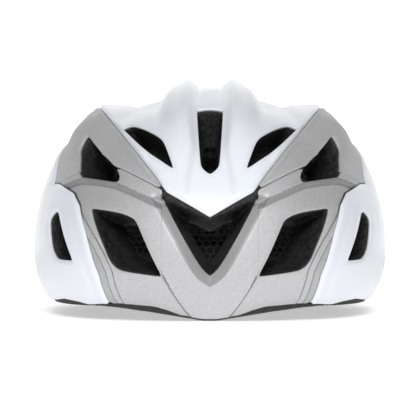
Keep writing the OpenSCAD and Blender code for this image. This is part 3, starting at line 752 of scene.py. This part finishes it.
# ---------------------------------------- net and pads
def make_net():
    """Honeycomb net laid against the cavity's front wall."""
    size = 2.35
    across, up = size * math.sqrt(3), size * 1.5
    corners, faces = {}, []
    for row in range(-11, 12):
        for column in range(-17, 18):
            x, y = (column + 0.5 * (row % 2)) * across, row * up
            if (x / 63) ** 6 + (y / 28) ** 6 > 0.9:
                continue
            loop = []
            for n in range(6):
                angle = math.radians(30 + 60 * n)
                key = (round(x + size * math.cos(angle), 2), round(y + size * math.sin(angle), 2))
                loop.append(corners.setdefault(key, len(corners)))
            faces.append(loop)
    flat = np.array(list(corners))
    d = direction(np.degrees(flat[:, 0] / 100), 9 + np.degrees(flat[:, 1] / 100))
    net = add_object("insect_net_strands", in_cavity(d, 1.2 + 0 * flat[:, 0]), faces, sharp=0)
    wire = net.modifiers.new("strands", "WIREFRAME")
    wire.thickness, wire.use_boundary, wire.use_even_offset = 0.00075, True, False
    return applied(net)


def applied(piece):
    mesh = bpy.data.meshes.new_from_object(piece.evaluated_get(bpy.context.evaluated_depsgraph_get()))
    piece.modifiers.clear()
    piece.data = mesh
    mesh.polygons.foreach_set("use_smooth", [True] * len(mesh.polygons))
    return piece


def pillow(at, nu, nv, corner=0.1):
    """A closed pad of two sheets that meet at the edge; at(u, v, share) is a point, from 0 at the wall to 1."""
    u, v = np.meshgrid(np.linspace(-1, 1, nu + 1), np.linspace(-1, 1, nv + 1), indexing="ij")
    uu, vv = u * (1 - corner * v**4), v * (1 - corner * u**4)
    crown = (np.clip(1 - u**6, 0, 1) * np.clip(1 - v**6, 0, 1)) ** 0.5
    front, back = at(uu, vv, 0.35 + 0.65 * crown), at(uu, vv, 0.35 - 0.35 * crown)
    n = (nu + 1) * (nv + 1)
    index = np.arange(n).reshape(nu + 1, nv + 1)
    rim = (np.abs(u) == 1) | (np.abs(v) == 1)
    other = np.where(rim, index, n + np.cumsum(~rim.ravel()).reshape(rim.shape) - 1)
    quads = []
    for i in range(nu):
        for j in range(nv):
            quads.append([index[i, j], index[i + 1, j], index[i + 1, j + 1], index[i, j + 1]])
            quads.append([other[i, j + 1], other[i + 1, j + 1], other[i + 1, j], other[i, j]])
    return np.concatenate([front.reshape(-1, 3), back[~rim]]), [[int(x) for x in q] for q in quads]


def outward(points, faces):
    """The faces, turned so that they face out."""
    total = 0.0
    for face in faces:
        a, b, c = (points[face[n]] for n in (0, 1, 2))
        total += np.dot(a, np.cross(b, c))
        if len(face) == 4:
            total += np.dot(a, np.cross(c, points[face[3]]))
    return faces if total > 0 else [face[::-1] for face in faces]


def inflated(piece, voxel=0.004, pressure=4.0, cap=0.0016, channels=None):
    """Swells a closed pad with a short cloth run, and stops a point that moves too far."""
    remesh = piece.modifiers.new("remesh", "REMESH")
    remesh.mode, remesh.voxel_size = "VOXEL", voxel
    applied(piece)
    start = np.array([v.co for v in piece.data.vertices])
    cloth = piece.modifiers.new("cloth", "CLOTH")
    cloth.settings.use_pressure = True
    cloth.settings.uniform_pressure_force = pressure
    cloth.settings.effector_weights.gravity = 0
    cloth.settings.quality = 6
    cloth.point_cache.frame_start, cloth.point_cache.frame_end = 1, 20
    for n in range(1, 21):
        bpy.context.scene.frame_set(n)
    applied(piece)
    end = np.array([v.co for v in piece.data.vertices])
    moved = end - start
    length = np.linalg.norm(moved, axis=1, keepdims=True)
    end = start + moved * np.minimum(1, cap / np.maximum(length, 1e-9))
    piece.data.vertices.foreach_set("co", end.astype(np.float32).ravel())
    bpy.context.scene.frame_set(1)
    if channels is not None:
        points = np.array([v.co for v in piece.data.vertices]) / MM
        piece.data.vertices.foreach_set("co", (channels(points) * MM).astype(np.float32).ravel())
    smooth = piece.modifiers.new("smooth", "SUBSURF")
    smooth.levels = smooth.render_levels = 1
    return applied(piece)


def wall_pad(name, s0, s1, t0, t1, near, deep, nu, nv, side=1, seams=(), along="t", **options):
    """A pad on the cavity's wall, with sewn channels across it."""
    def at(u, v, share):
        d = direction(side * ((s0 + s1) / 2 + u * (s1 - s0) / 2), (t0 + t1) / 2 + v * (t1 - t0) / 2)
        return in_cavity(d, near + (deep - near) * share)

    def channels(points):
        d = unit(points - CENTRE)
        s, t = lean_sweep(d)
        off = cavity_r(d) - np.linalg.norm(points - CENTRE, axis=1)
        sewn = sum(bump(t if along == "t" else s, seam, 1.0) for seam in seams)
        off = near + (off - near) * (1 - 0.55 * np.minimum(sewn, 1))
        return in_cavity(d, off)

    points, faces = pillow(at, nu, nv)
    piece = add_object(name, points, outward(points, faces), sharp=0)
    inflated(piece, channels=channels if seams else None, **options)
    return piece


finish_piece(make_net(), NET, "black_net", "insect_net")
brow_seams = (-28, -14, 0, 14, 28)
brow_pad = wall_pad("brow_pad_cloth", -43, 43, -17.4, -9.1, 2.1, 6.2, 60, 10, seams=brow_seams, along="s")
finish_piece(brow_pad, KNIT, "pad_fabric", "brow_pad")
for side, hand in ((1, "right"), (-1, "left")):
    crown_name, crown_seams = f"crown_pad_{hand}_cloth", (70, 88, 106)
    crown_pad = wall_pad(crown_name, 5.9, 12.6, 51, 121, 1.7, 6.2, 10, 60, side, seams=crown_seams)
    finish_piece(crown_pad, KNIT, "pad_fabric", "crown_pads")
    side_pad = wall_pad(f"side_pad_{hand}_cloth", 54.4, 63.6, 41.5, 74.5, 3.7, 7.4, 10, 24, side, seams=(58,))
    finish_piece(side_pad, KNIT, "pad_fabric", "side_pads")


def make_dots():
    """Hook-tape dots under the pads."""
    spots = [(9.2, t, 2, 3, 0.6, 1.3) for t in (58, 86, 114)]
    spots += [(59, 52, 2, 4, 0.9, 3.1), (59, 66, 2, 4, 0.9, 3.1), (26.5, -13.2, 2.5, 1.8, 0.6, 1.5)]
    points, faces, count = [], [], 0
    for side in (1, -1):
        for s, t, ds, dt, near, deep in spots:
            def at(u, v, share, side=side, s=s, t=t, ds=ds, dt=dt, near=near, deep=deep):
                return in_cavity(direction(side * (s + u * ds), t + v * dt), near + (deep - near) * share)
            p, f = pillow(at, 8, 8, 0.25)
            faces += [[v + count for v in face] for face in outward(p, f)]
            points.append(p)
            count += len(p)
    return add_object("hook_dots_tape", np.concatenate(points), faces, sharp=0)


finish_piece(make_dots(), HOOKS, "hook_tape", "hook_dots")


def ring_frame(p):
    """From the fit ring's own frame to the helmet's."""
    c, s = math.cos(math.radians(-6)), math.sin(math.radians(-6))
    x, y, z = p[..., 0], p[..., 1], p[..., 2]
    return np.stack([x, 14 + y * c - z * s, 30 + y * s + z * c], -1)


def nape_at(u, v, share):
    a, r = np.radians(90 + 29 * u), 70.0 - 3.0 * share
    return ring_frame(np.stack([r * np.cos(a), r * np.sin(a), 7.1 * v], -1))


points, faces = pillow(nape_at, 50, 12)
nape_pad = add_object("nape_pad_cloth", points, outward(points, faces), sharp=0)
nape_pad = inflated(nape_pad, cap=0.0008, voxel=0.003)
finish_piece(nape_pad, KNIT, "pad_fabric", "nape_pad", body="cradle")


# ---------------------------------------- webbing
def strap(name, path, width=15.0, thick=1.2):
    """Flat webbing along (point, normal) pairs, with rounded selvedges and UVs for its weave."""
    points = np.array([p for p, _ in path], float)
    normals = unit(np.array([n for _, n in path], float))
    along = unit(np.gradient(points, axis=0))
    side = unit(np.cross(normals, along))
    up = np.cross(along, side)
    w, t = width / 2, thick / 2
    section = [(-w, 0), (-w + 0.35, t), (-w * 0.5, t), (0, t), (w * 0.5, t), (w - 0.35, t),
               (w, 0), (w - 0.35, -t), (w * 0.5, -t), (0, -t), (-w * 0.5, -t), (-w + 0.35, -t)]  # fmt: skip
    n, m = len(points), len(section)
    rows = np.concatenate([[points[k] + side[k] * a + up[k] * b for a, b in section] for k in range(n)])
    faces = []
    for k in range(n - 1):
        for c in range(m):
            faces.append([k * m + c, k * m + (c + 1) % m, (k + 1) * m + (c + 1) % m, (k + 1) * m + c])
    faces += [list(range(m))[::-1], [(n - 1) * m + c for c in range(m)]]
    turned = outward(rows, faces)
    piece = add_object(name, rows, turned, sharp=60)
    run = np.concatenate([[0], np.cumsum(np.linalg.norm(np.diff(points, axis=0), axis=1))]) / width
    uv = np.array([[(a + w) / width, run[k]] for k in range(n) for a, _ in section])
    layer = piece.data.uv_layers.new(name="weave")
    index = np.zeros(len(piece.data.loops), np.int32)
    piece.data.loops.foreach_get("vertex_index", index)
    layer.data.foreach_set("uv", uv[index].astype(np.float32).ravel())
    return piece


def level_dir(azimuth, z):
    a = math.radians(azimuth)
    reach = float(cavity_r(np.array([math.sin(a), -math.cos(a), 0.0])))
    return unit(np.array([reach * math.sin(a), -reach * math.cos(a), z - CENTRE[2]]))


def wall_path(a, b, off_a, off_b, n, first=0.0, last=1.0):
    path = []
    for u in np.linspace(first, last, n):
        d = unit(a * (1 - u) + b * u)
        path.append((CENTRE + (float(cavity_r(d)) - off_a - (off_b - off_a) * u) * d, d))
    return path


WEB_OFF = 1.9  # the side straps' middle, off the cavity's wall
DIVIDER = unit(np.array([78.0, 2, 24]))
BUCKLE = np.array([33.0, 2, 89])
TOP = unit(BUCKLE - CENTRE)
slack = float(cavity_r(TOP)) - np.linalg.norm(BUCKLE - CENTRE)
chin = wall_path(DIVIDER, TOP, 3, slack, 44, 0.24, 0.9) + [
    (np.array([37.0, 2, 88.4]), np.array([0.3, 0, 1.0])),
    (np.array([33.1, 2, 89]), np.array([0, 0, 1.0])),
]


def mirrored_path(path):
    return [(p * [-1, 1, 1], n * [-1, 1, 1]) for p, n in path]


for hand, turn in (("right", list), ("left", mirrored_path)):
    front_path = wall_path(level_dir(52, 14), DIVIDER, WEB_OFF, WEB_OFF, 40, 0, 0.79)
    front = strap(f"front_strap_{hand}_webbing", turn(front_path))
    finish_piece(front, WEBBING, "webbing", "front_straps")
    rear_path = wall_path(level_dir(140, 14), DIVIDER, WEB_OFF, WEB_OFF, 56, 0, 0.81)
    rear = strap(f"rear_strap_{hand}_webbing", turn(rear_path))
    finish_piece(rear, WEBBING, "webbing", "rear_straps")
chin_left = strap("chin_strap_left_webbing", mirrored_path(chin))
finish_piece(chin_left, WEBBING, "webbing", "chin_strap_left")
chin_right = strap("chin_strap_right_webbing", chin)
finish_piece(chin_right, WEBBING, "webbing", "chin_strap_right", body=None)
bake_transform(chin_right)

# ---------------------------------------- finishes of the moulded parts kept from the CAD
KEPT = {
    BLACK: ["temple_anchors", "yoke", "dial_housing", "dial_knob", "height_stem", "stem_clip", "strap_anchors",
            "strap_dividers", "buckle_socket", "buckle_tongue", "tri_glide"],
    BELT: ["belt_left", "belt_right"],
    RUBBER: ["dial_grip", "strap_keeper"],
    STEEL: ["temple_pins"],
    NYLON: ["pinion", "detent_ring"],
}  # fmt: skip
for material, names in KEPT.items():
    for name in names:
        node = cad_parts[name]
        if not node.material_slots:
            node.data.materials.append(material)
        for slot in node.material_slots:
            slot.material = material


# ---------------------------------------- floor, light and camera
def make_floor():
    """A pale sweep: flat under the helmet, rising far behind it."""
    rows = []
    for y, z in [(-6, 0), (-3, 0), (0, 0), (2.5, 0), (3.6, 0.15), (4.4, 0.6), (4.9, 1.4), (5.1, 2.6), (5.1, 6)]:
        rows.append([(x, y, z) for x in (-7, -3.5, 0, 3.5, 7)])
    points = np.array(rows).reshape(-1, 3) / MM
    faces = []
    for r in range(len(rows) - 1):
        for c in range(4):
            faces.append([r * 5 + c, r * 5 + c + 1, (r + 1) * 5 + c + 1, (r + 1) * 5 + c])
    floor = add_object("floor", points, faces, sharp=0)
    glow = {"Emission Color": (1, 1, 1, 1), "Emission Strength": 0.5}
    paper = Paint("floor_paper", (0.93, 0.93, 0.93), 0.9, **{"Specular IOR Level": 0.1}, **glow)
    paper.tint(paper.span(paper.noise(3, 2), 0.995, 1.005))
    floor.data.materials.append(paper.relief((paper.noise(600, 2), 0.02, 0.0005)).material)


def area_light(name, place, aim, size, watts):
    light = bpy.data.lights.new(name, "AREA")
    light.shape, light.size, light.size_y, light.energy = "RECTANGLE", *size, watts
    lamp = bpy.data.objects.new(name, light)
    bpy.context.scene.collection.objects.link(lamp)
    lamp.location = place
    lamp.rotation_euler = (Vector(aim) - Vector(place)).to_track_quat("-Z", "Y").to_euler()


make_floor()
area_light("overhead", (0, -0.3, 1.9), (0, 0, 0.05), (1.6, 1.4), 7)
area_light("front_key", (0, -2.2, 1.3), (0, 0, 0.05), (1.1, 0.6), 41)
area_light("backdrop_light", (0, 1.2, 2.2), (0, 5.0, 1.0), (3.0, 0.6), 110)
area_light("left_fill", (-1.9, -1.1, 0.7), (0, 0, 0.05), (0.7, 1.0), 2)
area_light("right_fill", (1.9, -1.1, 0.7), (0, 0, 0.05), (0.7, 1.0), 2)

scene = bpy.context.scene
scene.view_settings.view_transform = "Standard"
world = bpy.data.worlds.new("studio")
world.use_nodes = True
world.node_tree.nodes["Background"].inputs["Strength"].default_value = 0.34
scene.world = world

camera_data = bpy.data.cameras.new("camera")
camera_data.sensor_width, camera_data.lens = 36, 211
camera = bpy.data.objects.new("camera", camera_data)
scene.collection.objects.link(camera)
camera.location = (0, -1.498, 0.0785)
camera.rotation_euler = (Vector((0, 0, 0.0613)) - camera.location).to_track_quat("-Z", "Y").to_euler()
scene.camera = camera
